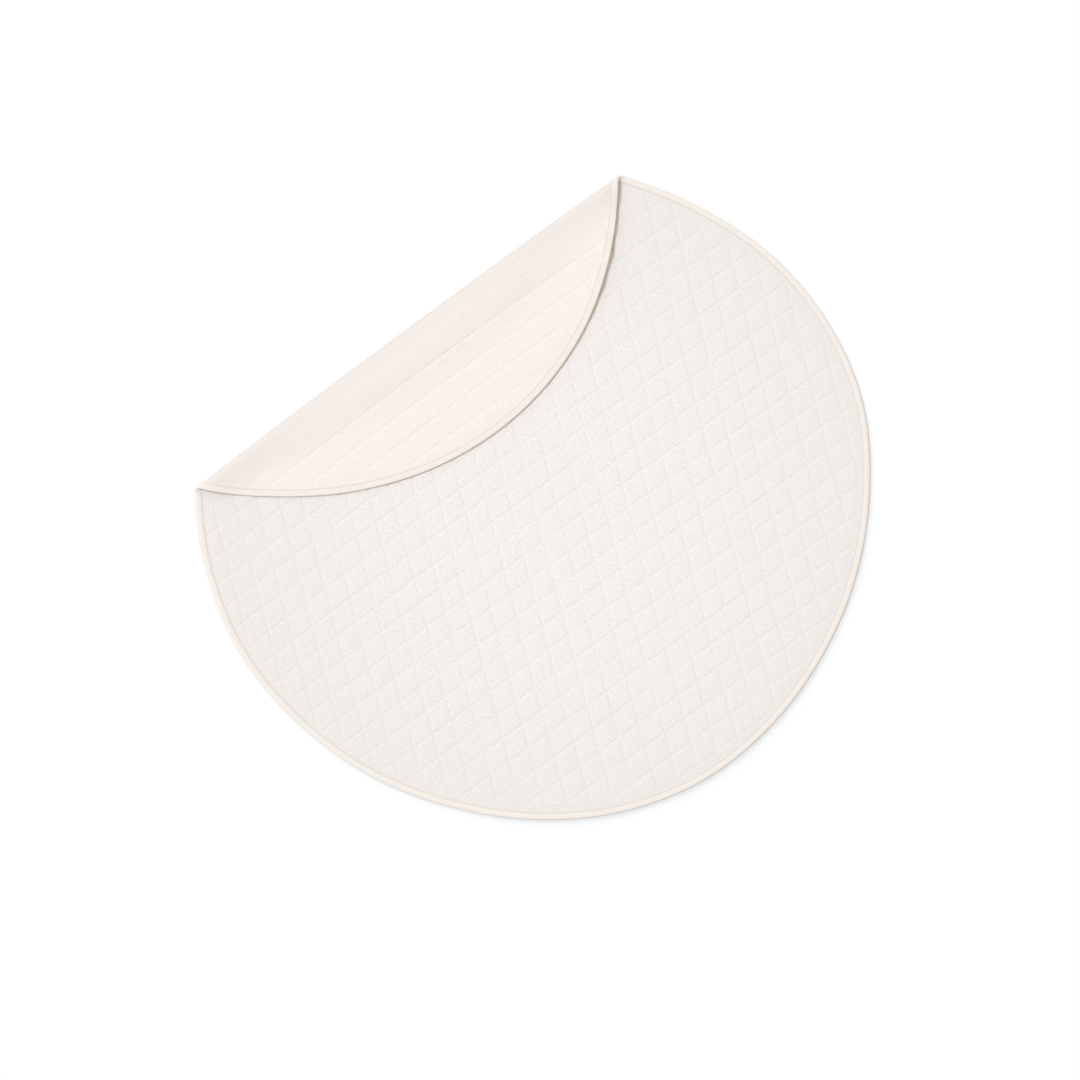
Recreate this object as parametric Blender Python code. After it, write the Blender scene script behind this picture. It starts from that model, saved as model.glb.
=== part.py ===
"""Round quilted play mat, lying flat with its upper left segment folded over.

Metres, +Z up. The mat's centre on the floor is the origin, +X is its right and +Y its top.
Each piece is shaped in the flat mat, where w is the height above the middle of the cloth,
and is then laid over the fold. Along and across are measured from the centre: along
follows the fold, and across runs square to it, towards the folded segment.
"""

import math

import bmesh
import bpy
from mathutils import Vector

MM = 0.001

# The mat laid out flat
MAT_RADIUS = 550 * MM
EDGE_STEPS = 80

# How far the sewn edge strays outside the true circle, by bearing round the mat
EDGE_DRIFT = (
    # bearing_deg, drift_mm
    (0, 1.5),
    (15, 8.0),
    (30, 4.5),
    (45, -3.5),
    (60, -14.0),
    (75, -17.0),
    (90, -5.5),
    (105, 7.5),
    (120, 13.5),
    (135, 12.0),
    (150, 6.0),
    (165, 2.0),
    (180, 7.0),
    (195, 6.5),
    (210, 5.0),
    (225, -2.0),
    (240, -6.0),
    (255, -9.0),
    (270, -5.5),
    (285, 1.0),
    (300, 5.0),
    (315, 1.5),
    (330, -2.0),
    (345, -1.5),
)

# The two sets of quilting lines: the bearing that each set steps along, its pitch, the share
# of a pitch by which its first line misses the centre, and how far, in pitches at the edge
# of the mat, its lines close up, turn and bow
QUILT_SETS = (
    # bearing_deg, pitch_mm, offset, close_up, turn, bow
    (14.4, 37.1, 0.26, -0.28, -0.06, -0.17),
    (126.0, 37.5, 0.06, -0.12, 0.21, 0.10),
)
GRID_CELLS = 34
CROSSING_PASSES = 8

# Heights above the middle of the cloth
PANEL_GAP = 0.3 * MM
RIM_HEIGHT = 1.2 * MM
STITCH_HEIGHT = 1.3 * MM
PLAIN_HEIGHT = 2.5 * MM
SHOULDER_RISE = 1.3 * MM
CROWN_RISE = 0.4 * MM
SHOULDER_INSET = 8.5 * MM
PLAIN_INSET = 6 * MM
HIDDEN_RISE = SHOULDER_RISE + CROWN_RISE
FLATTENED_RIM = 20 * MM

# Bias binding folded over the raw edge
BINDING_WIDTH = 11.5 * MM
BINDING_HALF = 2.4 * MM
BINDING_CLOTH = 0.9 * MM
BINDING_ROUND = 1.2 * MM
FIT_GAP = 0.35 * MM

# The fold
FOLD_BEARING = 36.4
FOLD_ACROSS = 333.5 * MM
FOLD_BOW = 3.8 * MM
FOLD_REACH = 455 * MM
ROLL_RADIUS = 11 * MM
ROLL_TIP_RADIUS = 7 * MM
FLAP_DEPTH = 222 * MM
DROP_SHARE = 0.42
SHORTEST_DROP = 45 * MM
FLAP_REST = 7 * MM
EDGE_LIFT = 5 * MM
LIFT_ALONG = 320 * MM
LIFT_SPREAD = 75 * MM

# Rows of quilting that the fold bends, between these distances from the centre
BENT_FROM = 298 * MM
BENT_TO = 374 * MM

# Where the panels are cut into strips so that they bend
ROLL_STRIPS = 10
DROP_STRIPS = 6
ALONG_CUTS = 13

MERGE = 0.000001
SLAB_TOP = 10 * MM
SLAB_BASE = -1 * MM

FACE_CLOTH = (0.90, 0.86, 0.83, 1.0)
BACK_CLOTH = (0.93, 0.89, 0.85, 1.0)
BINDING_COLOUR = (0.93, 0.87, 0.80, 1.0)


def direction(bearing_deg):
    """The unit vector at this bearing, counterclockwise from the mat's right."""
    turn = math.radians(bearing_deg)
    return Vector((math.cos(turn), math.sin(turn)))


ALONG = direction(FOLD_BEARING)
ACROSS = direction(FOLD_BEARING + 90)


def smooth(share):
    """0 to 1 with level ends."""
    share = min(1.0, max(0.0, share))
    return share * share * (3 - 2 * share)


def edge_radius(bearing_deg):
    """The flat mat's radius at this bearing, a smooth curve through the drift table."""
    rows = len(EDGE_DRIFT)
    place = (bearing_deg % 360) * rows / 360
    row = int(place)
    share = place - row
    before, here, after, beyond = (EDGE_DRIFT[(row + step) % rows][1] for step in (-1, 0, 1, 2))
    drift = here + 0.5 * share * (
        after - before
        + share * (2 * before - 5 * here + 4 * after - beyond
                   + share * (3 * (here - after) + beyond - before))
    )
    return MAT_RADIUS + drift * MM


def bearing_of(point):
    """The bearing of a flat point from the centre, in degrees."""
    return math.degrees(math.atan2(point.y, point.x)) % 360


def inside_edge(point):
    """How far a flat point lies inside the mat's edge."""
    return edge_radius(bearing_of(point)) - math.hypot(point.x, point.y)


# Quilting

def stray_of(quilt_set, point):
    """How far a set's lines stray from even spacing at this point, in pitches."""
    bearing_deg, _, offset, close_up, turn, bow = quilt_set
    step = direction(bearing_deg)
    away = (point.x * step.x + point.y * step.y) / MAT_RADIUS
    beside = (point.y * step.x - point.x * step.y) / MAT_RADIUS
    return offset + close_up * away * away + turn * away * beside + bow * beside * beside


def crossing(first_line, second_line):
    """The flat point where a line of the first set crosses a line of the second."""
    first, second = QUILT_SETS
    first_step = direction(first[0])
    second_step = direction(second[0])
    cross = first_step.x * second_step.y - first_step.y * second_step.x
    point = Vector((0.0, 0.0))
    for _ in range(CROSSING_PASSES):
        first_away = (first_line - stray_of(first, point)) * first[1] * MM
        second_away = (second_line - stray_of(second, point)) * second[1] * MM
        point = Vector((
            (first_away * second_step.y - second_away * first_step.y) / cross,
            (second_away * first_step.x - first_away * second_step.x) / cross,
        ))
    return point


# The fold

def roll_radius(along):
    """The radius of the roll at the middle of the cloth, tighter towards the fold's tips."""
    share = min(1.0, abs(along) / FOLD_REACH)
    return ROLL_RADIUS - (ROLL_RADIUS - ROLL_TIP_RADIUS) * share * share


def roll_start(along):
    """How far from the centre the cloth leaves the floor for the roll."""
    share = min(1.0, abs(along) / FOLD_REACH)
    silhouette = FOLD_ACROSS - FOLD_BOW * share * share
    return silhouette - roll_radius(along) - PLAIN_HEIGHT


def drop_length(along):
    """The stretch over which the flap sinks from the roll to rest on the mat."""
    share = min(1.0, abs(along) / FOLD_REACH)
    return max(SHORTEST_DROP, DROP_SHARE * FLAP_DEPTH * (1 - share * share))


def rest_height(along):
    """The height of the resting flap above the mat below it, from cloth middle to middle."""
    return FLAP_REST + EDGE_LIFT * math.exp(-(((along - LIFT_ALONG) / LIFT_SPREAD) ** 2))


def laid(point):
    """A point of the flat mat, its z the height w, moved to where it lies on the folded mat."""
    flat = Vector((point.x, point.y))
    along = flat.dot(ALONG)
    across = flat.dot(ACROSS)
    w = point.z
    radius = roll_radius(along)
    start = roll_start(along)
    past = across - start
    if past <= 0:
        height = PLAIN_HEIGHT + w
    elif past <= math.pi * radius:
        turn = past / radius
        across = start + (radius - w) * math.sin(turn)
        height = PLAIN_HEIGHT + radius - (radius - w) * math.cos(turn)
    else:
        out = past - math.pi * radius
        length = drop_length(along)
        rest = rest_height(along)
        drop = 2 * radius - rest
        share = min(1.0, out / length)
        slope = -6 * drop * share * (1 - share) / length
        lean = math.hypot(1, slope)
        across = start - out - w * slope / lean
        height = PLAIN_HEIGHT + rest + drop * (1 - smooth(share)) - w / lean
    place = ALONG * along + ACROSS * across
    return Vector((place.x, place.y, height))


def under_flap(flat):
    """Whether a flat point of the lower layer is hidden below the folded segment."""
    along = flat.dot(ALONG)
    across = flat.dot(ACROSS)
    start = roll_start(along)
    above = ALONG * along + ACROSS * (2 * start + math.pi * roll_radius(along) - across)
    return inside_edge(above) > BINDING_WIDTH + 2 * SHOULDER_INSET


# Modelling helpers

def fabric(name, colour, roughness):
    """A plain cloth material."""
    material = bpy.data.materials.new(name)
    material.use_nodes = True
    surface = material.node_tree.nodes["Principled BSDF"]
    surface.inputs["Base Color"].default_value = colour
    surface.inputs["Roughness"].default_value = roughness
    surface.inputs["Metallic"].default_value = 0.0
    return material


def object_from(bm, name, collection):
    """A new object that takes over this bmesh."""
    mesh = bpy.data.meshes.new(name)
    bm.to_mesh(mesh)
    bm.free()
    made = bpy.data.objects.new(name, mesh)
    collection.objects.link(made)
    return made


def rim_circle(bm, inset):
    """The capped outline of the mat, this far inside its edge, at w = 0."""
    made = bmesh.ops.create_circle(bm, cap_ends=True, segments=EDGE_STEPS, radius=1)
    for vertex in made["verts"]:
        radius = edge_radius(bearing_of(vertex.co)) - inset
        vertex.co.x *= radius
        vertex.co.y *= radius
    return made["verts"]


def raised(bm, faces, leave_base=False):
    """Extrudes these faces and returns the new vertices and the new faces."""
    made = bmesh.ops.extrude_face_region(bm, geom=faces)["geom"]
    if not leave_base:
        bmesh.ops.delete(bm, geom=faces, context="FACES_ONLY")
    vertices = [item for item in made if isinstance(item, bmesh.types.BMVert)]
    return vertices, [item for item in made if isinstance(item, bmesh.types.BMFace)]


def stepped_disc(name, collection):
    """A cutter that keeps a panel's full loft inside the binding and a thin rim under it."""
    bm = bmesh.new()
    rim_circle(bm, BINDING_CLOTH + FIT_GAP)
    bmesh.ops.translate(bm, verts=bm.verts, vec=(0, 0, SLAB_BASE))
    rim, top = raised(bm, bm.faces[:], leave_base=True)
    for vertex in rim:
        vertex.co.z = RIM_HEIGHT
    shoulder, top = raised(bm, top)
    for vertex in shoulder:
        reach = (edge_radius(bearing_of(vertex.co)) - BINDING_WIDTH - FIT_GAP) / math.hypot(
            vertex.co.x, vertex.co.y
        )
        vertex.co.x *= reach
        vertex.co.y *= reach
    crown, _ = raised(bm, top)
    for vertex in crown:
        vertex.co.z = SLAB_TOP
    bmesh.ops.recalc_face_normals(bm, faces=bm.faces)
    cutter = object_from(bm, name, collection)
    cutter.hide_render = True
    cutter.display_type = "WIRE"
    return cutter


def cell_middle(face):
    """The middle of a face of the flat mat."""
    return face.calc_center_median().to_2d()


def is_bent(face):
    """Whether this cell of the quilting is bent by the fold."""
    return BENT_FROM < cell_middle(face).dot(ACROSS) < BENT_TO


def is_folded_over(face):
    """Whether this cell lies on the flap proper."""
    return cell_middle(face).dot(ACROSS) >= BENT_TO


def face_panel_relief(face):
    """The face panel is quilted where it shows, simply domed below the flap and plain inside it."""
    if is_bent(face) or is_folded_over(face):
        return "plain"
    return "domed" if under_flap(cell_middle(face)) else "quilted"


def back_panel_relief(face):
    """The reverse is quilted on the flap, and lies flat on the floor elsewhere."""
    return "quilted" if is_folded_over(face) else "plain"


def quilting_grid():
    """A sheet of the quilting's cells at w = half the gap, a little wider than the mat."""
    bm = bmesh.new()
    bmesh.ops.create_grid(bm, x_segments=GRID_CELLS, y_segments=GRID_CELLS, size=GRID_CELLS / 2)
    for vertex in bm.verts:
        place = crossing(round(vertex.co.x), round(vertex.co.y))
        vertex.co = (place.x, place.y, PANEL_GAP / 2)
    outside = [
        face for face in bm.faces
        if all(inside_edge(vertex.co) < 0 for vertex in face.verts)
        and inside_edge(cell_middle(face)) < -SHOULDER_INSET
    ]
    bmesh.ops.delete(bm, geom=outside, context="FACES")
    return bm


def quilted_slab(name, relief_of, collection):
    """The panel before its edge is cut: a level inner side and a quilted outer one."""
    bm = quilting_grid()
    tops, cells = raised(bm, bm.faces[:], leave_base=True)
    for vertex in tops:
        vertex.co.z = STITCH_HEIGHT
    inner_side = [face for face in bm.faces if all(v.co.z < STITCH_HEIGHT for v in face.verts)]
    bmesh.ops.dissolve_faces(bm, faces=inner_side, use_verts=True)
    relief = {"plain": [], "domed": [], "quilted": []}
    for face in cells:
        relief[relief_of(face)].append(face)
    bmesh.ops.inset_individual(
        bm, faces=relief["quilted"], thickness=SHOULDER_INSET, depth=SHOULDER_RISE, use_even_offset=True
    )
    bmesh.ops.poke(bm, faces=relief["quilted"], offset=CROWN_RISE)
    if relief["domed"]:
        bmesh.ops.poke(bm, faces=relief["domed"], offset=HIDDEN_RISE)
    plain = bmesh.ops.dissolve_faces(bm, faces=relief["plain"], use_verts=True)["region"]
    bmesh.ops.inset_individual(
        bm, faces=plain, thickness=PLAIN_INSET, depth=PLAIN_HEIGHT - STITCH_HEIGHT, use_even_offset=True
    )
    flatten_rim(bm)
    bmesh.ops.recalc_face_normals(bm, faces=bm.faces)
    return object_from(bm, name, collection)


def flatten_rim(bm):
    """Lets the quilting down towards the binding, which holds the edge thin."""
    for vertex in bm.verts:
        if vertex.co.z > PLAIN_HEIGHT + MERGE:
            share = smooth((inside_edge(vertex.co) - BINDING_WIDTH) / FLATTENED_RIM)
            vertex.co.z = STITCH_HEIGHT + (vertex.co.z - STITCH_HEIGHT) * share


def cut_by(target, cutter):
    """Keeps what the cutter encloses, and returns the result as a bmesh."""
    modifier = target.modifiers.new("trim", "BOOLEAN")
    modifier.operation = "INTERSECT"
    modifier.object = cutter
    bpy.context.view_layer.update()
    trimmed = bpy.data.meshes.new_from_object(
        target.evaluated_get(bpy.context.evaluated_depsgraph_get())
    )
    target.modifiers.remove(modifier)
    bm = bmesh.new()
    bm.from_mesh(trimmed)
    bpy.data.meshes.remove(trimmed)
    bmesh.ops.remove_doubles(bm, verts=bm.verts, dist=MERGE)
    return bm


def is_raised(face):
    """Whether a flat piece's face belongs to the quilting's relief, fine enough to bend as it is."""
    heights = [vertex.co.z for vertex in face.verts]
    return max(heights) > STITCH_HEIGHT + MERGE and min(heights) < max(heights) - MERGE


def slice_at(bm, faces, distance, normal):
    """Cuts these faces along the line at this distance from the centre."""
    edges = {edge for face in faces for edge in face.edges}
    vertices = {vertex for face in faces for vertex in face.verts}
    point = normal * distance
    bmesh.ops.bisect_plane(
        bm,
        geom=[*vertices, *edges, *faces],
        dist=MERGE,
        plane_co=(point.x, point.y, 0),
        plane_no=(normal.x, normal.y, 0),
    )


def cut_for_fold(bm, has_relief):
    """Cuts a flat piece into strips where the fold bends it, then into triangles."""
    start = roll_start(0)
    length = math.pi * ROLL_RADIUS
    drop = drop_length(0)
    lines = [start + length * step / ROLL_STRIPS for step in range(ROLL_STRIPS + 1)]
    lines += [start + length + drop * (step + 1) / DROP_STRIPS for step in range(DROP_STRIPS)]
    for distance in lines:
        coarse = [face for face in bm.faces if not (has_relief and is_raised(face))]
        slice_at(bm, coarse, distance, ACROSS)
    for step in range(ALONG_CUTS):
        distance = FOLD_REACH * math.sin(math.pi * ((step + 0.5) / ALONG_CUTS - 0.5))
        folded = [
            face for face in bm.faces
            if cell_middle(face).dot(ACROSS) > start and not (has_relief and is_raised(face))
        ]
        slice_at(bm, folded, distance, ALONG)
    bmesh.ops.triangulate(bm, faces=bm.faces)


def lay_down(bm, side):
    """Moves each vertex from the flat mat to the folded one, the outer side up or down."""
    for vertex in bm.verts:
        vertex.co.z *= side
        vertex.co = laid(vertex.co)
    if side < 0:
        bmesh.ops.reverse_faces(bm, faces=bm.faces)


def finish(bm, name, material, collection):
    """Makes the finished piece an object with its material."""
    made = object_from(bm, name, collection)
    made.data.materials.append(material)
    return made


# The pieces

def make_panel(name, relief_of, side, material, mat, cutters):
    """One of the two panels, cut round and quilted, then folded."""
    slab = quilted_slab(name + "_slab", relief_of, cutters)
    cutter = stepped_disc(name + "_outline", cutters)
    bm = cut_by(slab, cutter)
    bpy.data.objects.remove(slab)
    bpy.data.objects.remove(cutter)
    cut_for_fold(bm, has_relief=True)
    lay_down(bm, side)
    return finish(bm, name, material, mat)


def binding_profile():
    """The binding's section: distance inside the edge, and height w, in order round it."""
    inner_half = BINDING_HALF - BINDING_CLOTH
    return (
        # inside_edge, w
        (BINDING_WIDTH, BINDING_HALF),
        (BINDING_ROUND, BINDING_HALF),
        (0, BINDING_HALF / 2),
        (0, -BINDING_HALF / 2),
        (BINDING_ROUND, -BINDING_HALF),
        (BINDING_WIDTH, -BINDING_HALF),
        (BINDING_WIDTH, -inner_half),
        (BINDING_CLOTH, -inner_half),
        (BINDING_CLOTH, inner_half),
        (BINDING_WIDTH, inner_half),
    )


def make_binding(material, mat):
    """The bias strip, folded over the edge all the way round."""
    bm = bmesh.new()
    profile = binding_profile()
    corners = [bm.verts.new((MAT_RADIUS - inside, 0, w)) for inside, w in profile]
    sides = [bm.edges.new((corners[i - 1], corners[i])) for i in range(len(corners))]
    bmesh.ops.spin(
        bm, geom=[*corners, *sides], cent=(0, 0, 0), axis=(0, 0, 1), angle=math.tau,
        steps=EDGE_STEPS, use_merge=True,
    )
    bmesh.ops.remove_doubles(bm, verts=bm.verts, dist=MERGE)
    for vertex in bm.verts:
        radius = math.hypot(vertex.co.x, vertex.co.y)
        reach = 1 + (edge_radius(bearing_of(vertex.co)) - MAT_RADIUS) / radius
        vertex.co.x *= reach
        vertex.co.y *= reach
    bmesh.ops.recalc_face_normals(bm, faces=bm.faces)
    cut_for_fold(bm, has_relief=False)
    lay_down(bm, 1)
    return finish(bm, "edge_binding", material, mat)


def main():
    """Clears the scene and makes the mat's three pieces."""
    for old in list(bpy.data.objects):
        bpy.data.objects.remove(old)
    mat = bpy.data.collections.new("play_mat")
    cutters = bpy.data.collections.new("cutters")
    for collection in (mat, cutters):
        bpy.context.scene.collection.children.link(collection)

    face_cloth = fabric("face_cloth", FACE_CLOTH, 0.92)
    back_cloth = fabric("back_cloth", BACK_CLOTH, 0.88)
    binding_cloth = fabric("binding_cloth", BINDING_COLOUR, 0.85)
    make_panel("top_panel", face_panel_relief, 1, face_cloth, mat, cutters)
    make_panel("back_panel", back_panel_relief, -1, back_cloth, mat, cutters)
    make_binding(binding_cloth, mat)


main()
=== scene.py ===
"""Looks of a round quilted baby play mat, lying flat with its upper left segment folded over.

Metres, +Z up. The mat's centre on the floor is the origin, +X is its right and +Y its top.
Each cloth is shaped in the flat mat, where w is the height above the middle of the cloth,
and is then laid over the fold. Along follows the fold, and across runs square to it.
"""

import logging
import math
from dataclasses import dataclass
from enum import Enum

import bmesh
import bpy
import numpy as np
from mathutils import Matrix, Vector


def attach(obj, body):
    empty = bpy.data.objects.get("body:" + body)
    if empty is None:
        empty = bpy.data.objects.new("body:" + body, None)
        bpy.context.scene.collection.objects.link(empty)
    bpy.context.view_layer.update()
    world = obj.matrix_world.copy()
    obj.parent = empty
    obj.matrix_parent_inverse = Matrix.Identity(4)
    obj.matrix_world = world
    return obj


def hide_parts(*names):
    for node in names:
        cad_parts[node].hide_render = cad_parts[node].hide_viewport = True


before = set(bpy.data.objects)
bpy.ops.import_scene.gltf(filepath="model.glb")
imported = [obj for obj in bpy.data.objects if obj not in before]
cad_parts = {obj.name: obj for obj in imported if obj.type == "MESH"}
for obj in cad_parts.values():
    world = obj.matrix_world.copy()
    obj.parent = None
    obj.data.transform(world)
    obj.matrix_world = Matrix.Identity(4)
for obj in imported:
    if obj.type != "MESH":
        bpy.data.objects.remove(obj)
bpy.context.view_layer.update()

MM = 0.001
BODY = "root"
CLOTH_UV = "flat_cloth"
MERGE = 0.000001

log = logging.getLogger("play_mat")

Colour = tuple[float, float, float, float]


class Side(Enum):
    """Which way a cloth's outer side points on the flat mat."""

    FACE = 1
    REVERSE = -1


def smooth(share: np.ndarray) -> np.ndarray:
    """0 to 1 with level ends."""
    share = np.clip(share, 0.0, 1.0)
    return share * share * (3 - 2 * share)


def direction(bearing_deg: float) -> np.ndarray:
    """The unit vector at this bearing, counterclockwise from the mat's right."""
    turn = math.radians(bearing_deg)
    return np.array((math.cos(turn), math.sin(turn)))


def chance(*numbers: np.ndarray) -> np.ndarray:
    """A fixed value from 0 to 1 for each set of whole numbers.

    Args:
        numbers: arrays of whole numbers, of one shape.

    Returns:
        The values, in the arrays' shape.
    """
    mixed = sum(number * weight for number, weight in zip(numbers, (12.9898, 78.233, 37.719)))
    stirred = np.sin(mixed) * 43758.5453
    return stirred - np.floor(stirred)


@dataclass(frozen=True)
class MatOutline:
    """The flat mat's sewn edge: a circle that strays a little, by bearing."""

    radius: float = 550 * MM
    drift_mm: tuple[float, ...] = (
        1.5, 8.0, 4.5, -3.5, -14.0, -17.0, -5.5, 7.5, 13.5, 12.0, 6.0, 2.0,
        7.0, 6.5, 5.0, -2.0, -6.0, -9.0, -5.5, 1.0, 5.0, 1.5, -2.0, -1.5,
    )

    def edge_radius(self, bearing: np.ndarray) -> np.ndarray:
        """The edge's distance from the centre.

        Args:
            bearing: bearings in radians.

        Returns:
            The radius at each bearing, on a smooth curve through the drift table.
        """
        table = np.array(self.drift_mm)
        rows = len(table)
        place = (bearing % math.tau) * rows / math.tau
        row = np.floor(place).astype(int)
        share = place - row
        before, here, after, beyond = (table[(row + step) % rows] for step in (-1, 0, 1, 2))
        bend = 2 * before - 5 * here + 4 * after - beyond + share * (3 * (here - after) + beyond - before)
        drift = here + 0.5 * share * (after - before + share * bend)
        return self.radius + drift * MM

    def inside(self, flat: np.ndarray) -> np.ndarray:
        """How far each flat point lies inside the mat's edge."""
        bearing = np.arctan2(flat[:, 1], flat[:, 0])
        return self.edge_radius(bearing) - np.hypot(flat[:, 0], flat[:, 1])

    def area(self) -> float:
        """The flat mat's area in square metres."""
        bearing = np.linspace(0, math.tau, 720, endpoint=False)
        return float(math.pi * np.mean(self.edge_radius(bearing) ** 2))


@dataclass(frozen=True)
class QuiltLines:
    """One set of parallel quilting lines, which close up, turn and bow a little."""

    bearing_deg: float
    pitch: float
    offset: float
    close_up: float
    turn: float
    bow: float

    def stray(self, flat: np.ndarray, reach: float) -> np.ndarray:
        """How far the lines stray from even spacing, in pitches.

        Args:
            flat: flat points.
            reach: the mat's radius.

        Returns:
            The stray at each point.
        """
        step = direction(self.bearing_deg)
        away = flat @ step / reach
        beside = (flat[:, 1] * step[0] - flat[:, 0] * step[1]) / reach
        return self.offset + self.close_up * away ** 2 + self.turn * away * beside + self.bow * beside ** 2

    def number(self, flat: np.ndarray, reach: float) -> np.ndarray:
        """The line number at each flat point, whole on a stitched line."""
        return flat @ direction(self.bearing_deg) / self.pitch + self.stray(flat, reach)


@dataclass(frozen=True)
class Quilting:
    """The diamond grid of stitching that holds both cloths and the wadding together."""

    first: QuiltLines = QuiltLines(14.4, 37.1 * MM, 0.19, -0.28, -0.06, -0.17)
    second: QuiltLines = QuiltLines(126.0, 37.5 * MM, 0.14, -0.12, 0.21, 0.10)
    reach: float = 550 * MM
    passes: int = 10

    def place(self, numbers: np.ndarray) -> np.ndarray:
        """The flat points with these line numbers.

        Args:
            numbers: rows of first and second line number, whole or not.

        Returns:
            Rows of x and y.
        """
        steps = np.array((direction(self.first.bearing_deg), direction(self.second.bearing_deg)))
        solve = np.linalg.inv(steps).T
        flat = np.zeros_like(numbers)
        for _ in range(self.passes):
            first_away = (numbers[:, 0] - self.first.stray(flat, self.reach)) * self.first.pitch
            second_away = (numbers[:, 1] - self.second.stray(flat, self.reach)) * self.second.pitch
            flat = np.column_stack((first_away, second_away)) @ solve
        return flat

    def numbers(self, flat: np.ndarray) -> tuple[np.ndarray, np.ndarray]:
        """Both sets' line numbers at each flat point."""
        return self.first.number(flat, self.reach), self.second.number(flat, self.reach)


@dataclass(frozen=True)
class Fold:
    """The fold that turns the upper left segment over on to the mat."""

    outline: MatOutline
    bearing_deg: float = 36.4
    across: float = 333.5 * MM
    bow: float = 3.8 * MM
    reach: float = 455 * MM
    radius: float = 11 * MM
    tip_radius: float = 7 * MM
    middle_height: float = 2.5 * MM
    flap_depth: float = 222 * MM
    drop_share: float = 0.42
    shortest_drop: float = 45 * MM
    rest: float = 7 * MM
    lift: float = 5 * MM
    lift_along: float = 320 * MM
    lift_spread: float = 75 * MM
    scallop: float = 4 * MM
    scallop_pitch: float = 41 * MM
    scallop_from: float = 308 * MM
    scallop_depth: float = 34 * MM

    def shares(self, along: np.ndarray) -> np.ndarray:
        """0 at the middle of the fold and 1 at its tips."""
        return np.minimum(1.0, np.abs(along) / self.reach)

    def roll_radius(self, along: np.ndarray) -> np.ndarray:
        """The radius of the roll at the middle of the cloth, tighter towards the tips."""
        return self.radius - (self.radius - self.tip_radius) * self.shares(along) ** 2

    def roll_start(self, along: np.ndarray) -> np.ndarray:
        """How far from the centre the cloth leaves the floor for the roll."""
        silhouette = self.across - self.bow * self.shares(along) ** 2
        return silhouette - self.roll_radius(along) - self.middle_height

    def split(self, flat: np.ndarray) -> tuple[np.ndarray, np.ndarray]:
        """Each flat point's distance along the fold and across it."""
        return flat @ direction(self.bearing_deg), flat @ direction(self.bearing_deg + 90)

    def scalloped(self, flat: np.ndarray, along: np.ndarray) -> np.ndarray:
        """How far the flap's free edge puckers up between its quilting lines near the upper tip.

        Args:
            flat: flat points.
            along: their distances along the fold.

        Returns:
            The extra height of each point on the flap.
        """
        window = np.exp(-(((along - self.lift_along) / (1.4 * self.lift_spread)) ** 2))
        wave = np.sin(math.pi * (along - self.scallop_from) / self.scallop_pitch) ** 2
        near = 1 - smooth(self.outline.inside(flat) / self.scallop_depth)
        return self.scallop * window * wave * near

    def laid(self, shaped: np.ndarray) -> np.ndarray:
        """Moves points of the flat mat to where they lie on the folded one.

        Args:
            shaped: rows of x, y and w.

        Returns:
            Rows of x, y and z.
        """
        flat = shaped[:, :2]
        w = shaped[:, 2]
        along, across = self.split(flat)
        radius = self.roll_radius(along)
        start = self.roll_start(along)
        past = across - start

        turn = np.clip(past / radius, 0, math.pi)
        roll_across = start + (radius - w) * np.sin(turn)
        roll_height = self.middle_height + radius - (radius - w) * np.cos(turn)

        out = past - math.pi * radius
        shares = self.shares(along)
        length = np.maximum(self.shortest_drop, self.drop_share * self.flap_depth * (1 - shares ** 2))
        rest = self.rest + self.lift * np.exp(-(((along - self.lift_along) / self.lift_spread) ** 2))
        drop = 2 * radius - rest
        share = np.clip(out / length, 0, 1)
        slope = -6 * drop * share * (1 - share) / length
        lean = np.hypot(1, slope)
        flap_across = start - out - w * slope / lean
        flap_height = self.middle_height + rest + drop * (1 - smooth(share)) - w / lean
        flap_height = flap_height + self.scalloped(flat, along) * smooth(share)

        on_floor = past <= 0
        on_roll = past <= math.pi * radius
        new_across = np.where(on_floor, across, np.where(on_roll, roll_across, flap_across))
        height = np.where(on_floor, self.middle_height + w, np.where(on_roll, roll_height, flap_height))
        place = np.outer(along, direction(self.bearing_deg))
        place += np.outer(new_across, direction(self.bearing_deg + 90))
        return np.column_stack((place, height))

    def below_flap(self, flat: np.ndarray) -> np.ndarray:
        """How far inside the flap's edge the flap lies above each point of the lower layer.

        Args:
            flat: flat points of the lower layer.

        Returns:
            The depth below the flap, negative outside it.
        """
        along, across = self.split(flat)
        above = 2 * self.roll_start(along) + math.pi * self.roll_radius(along) - across
        mirrored = np.outer(along, direction(self.bearing_deg))
        mirrored += np.outer(above, direction(self.bearing_deg + 90))
        return self.outline.inside(mirrored)


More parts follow.
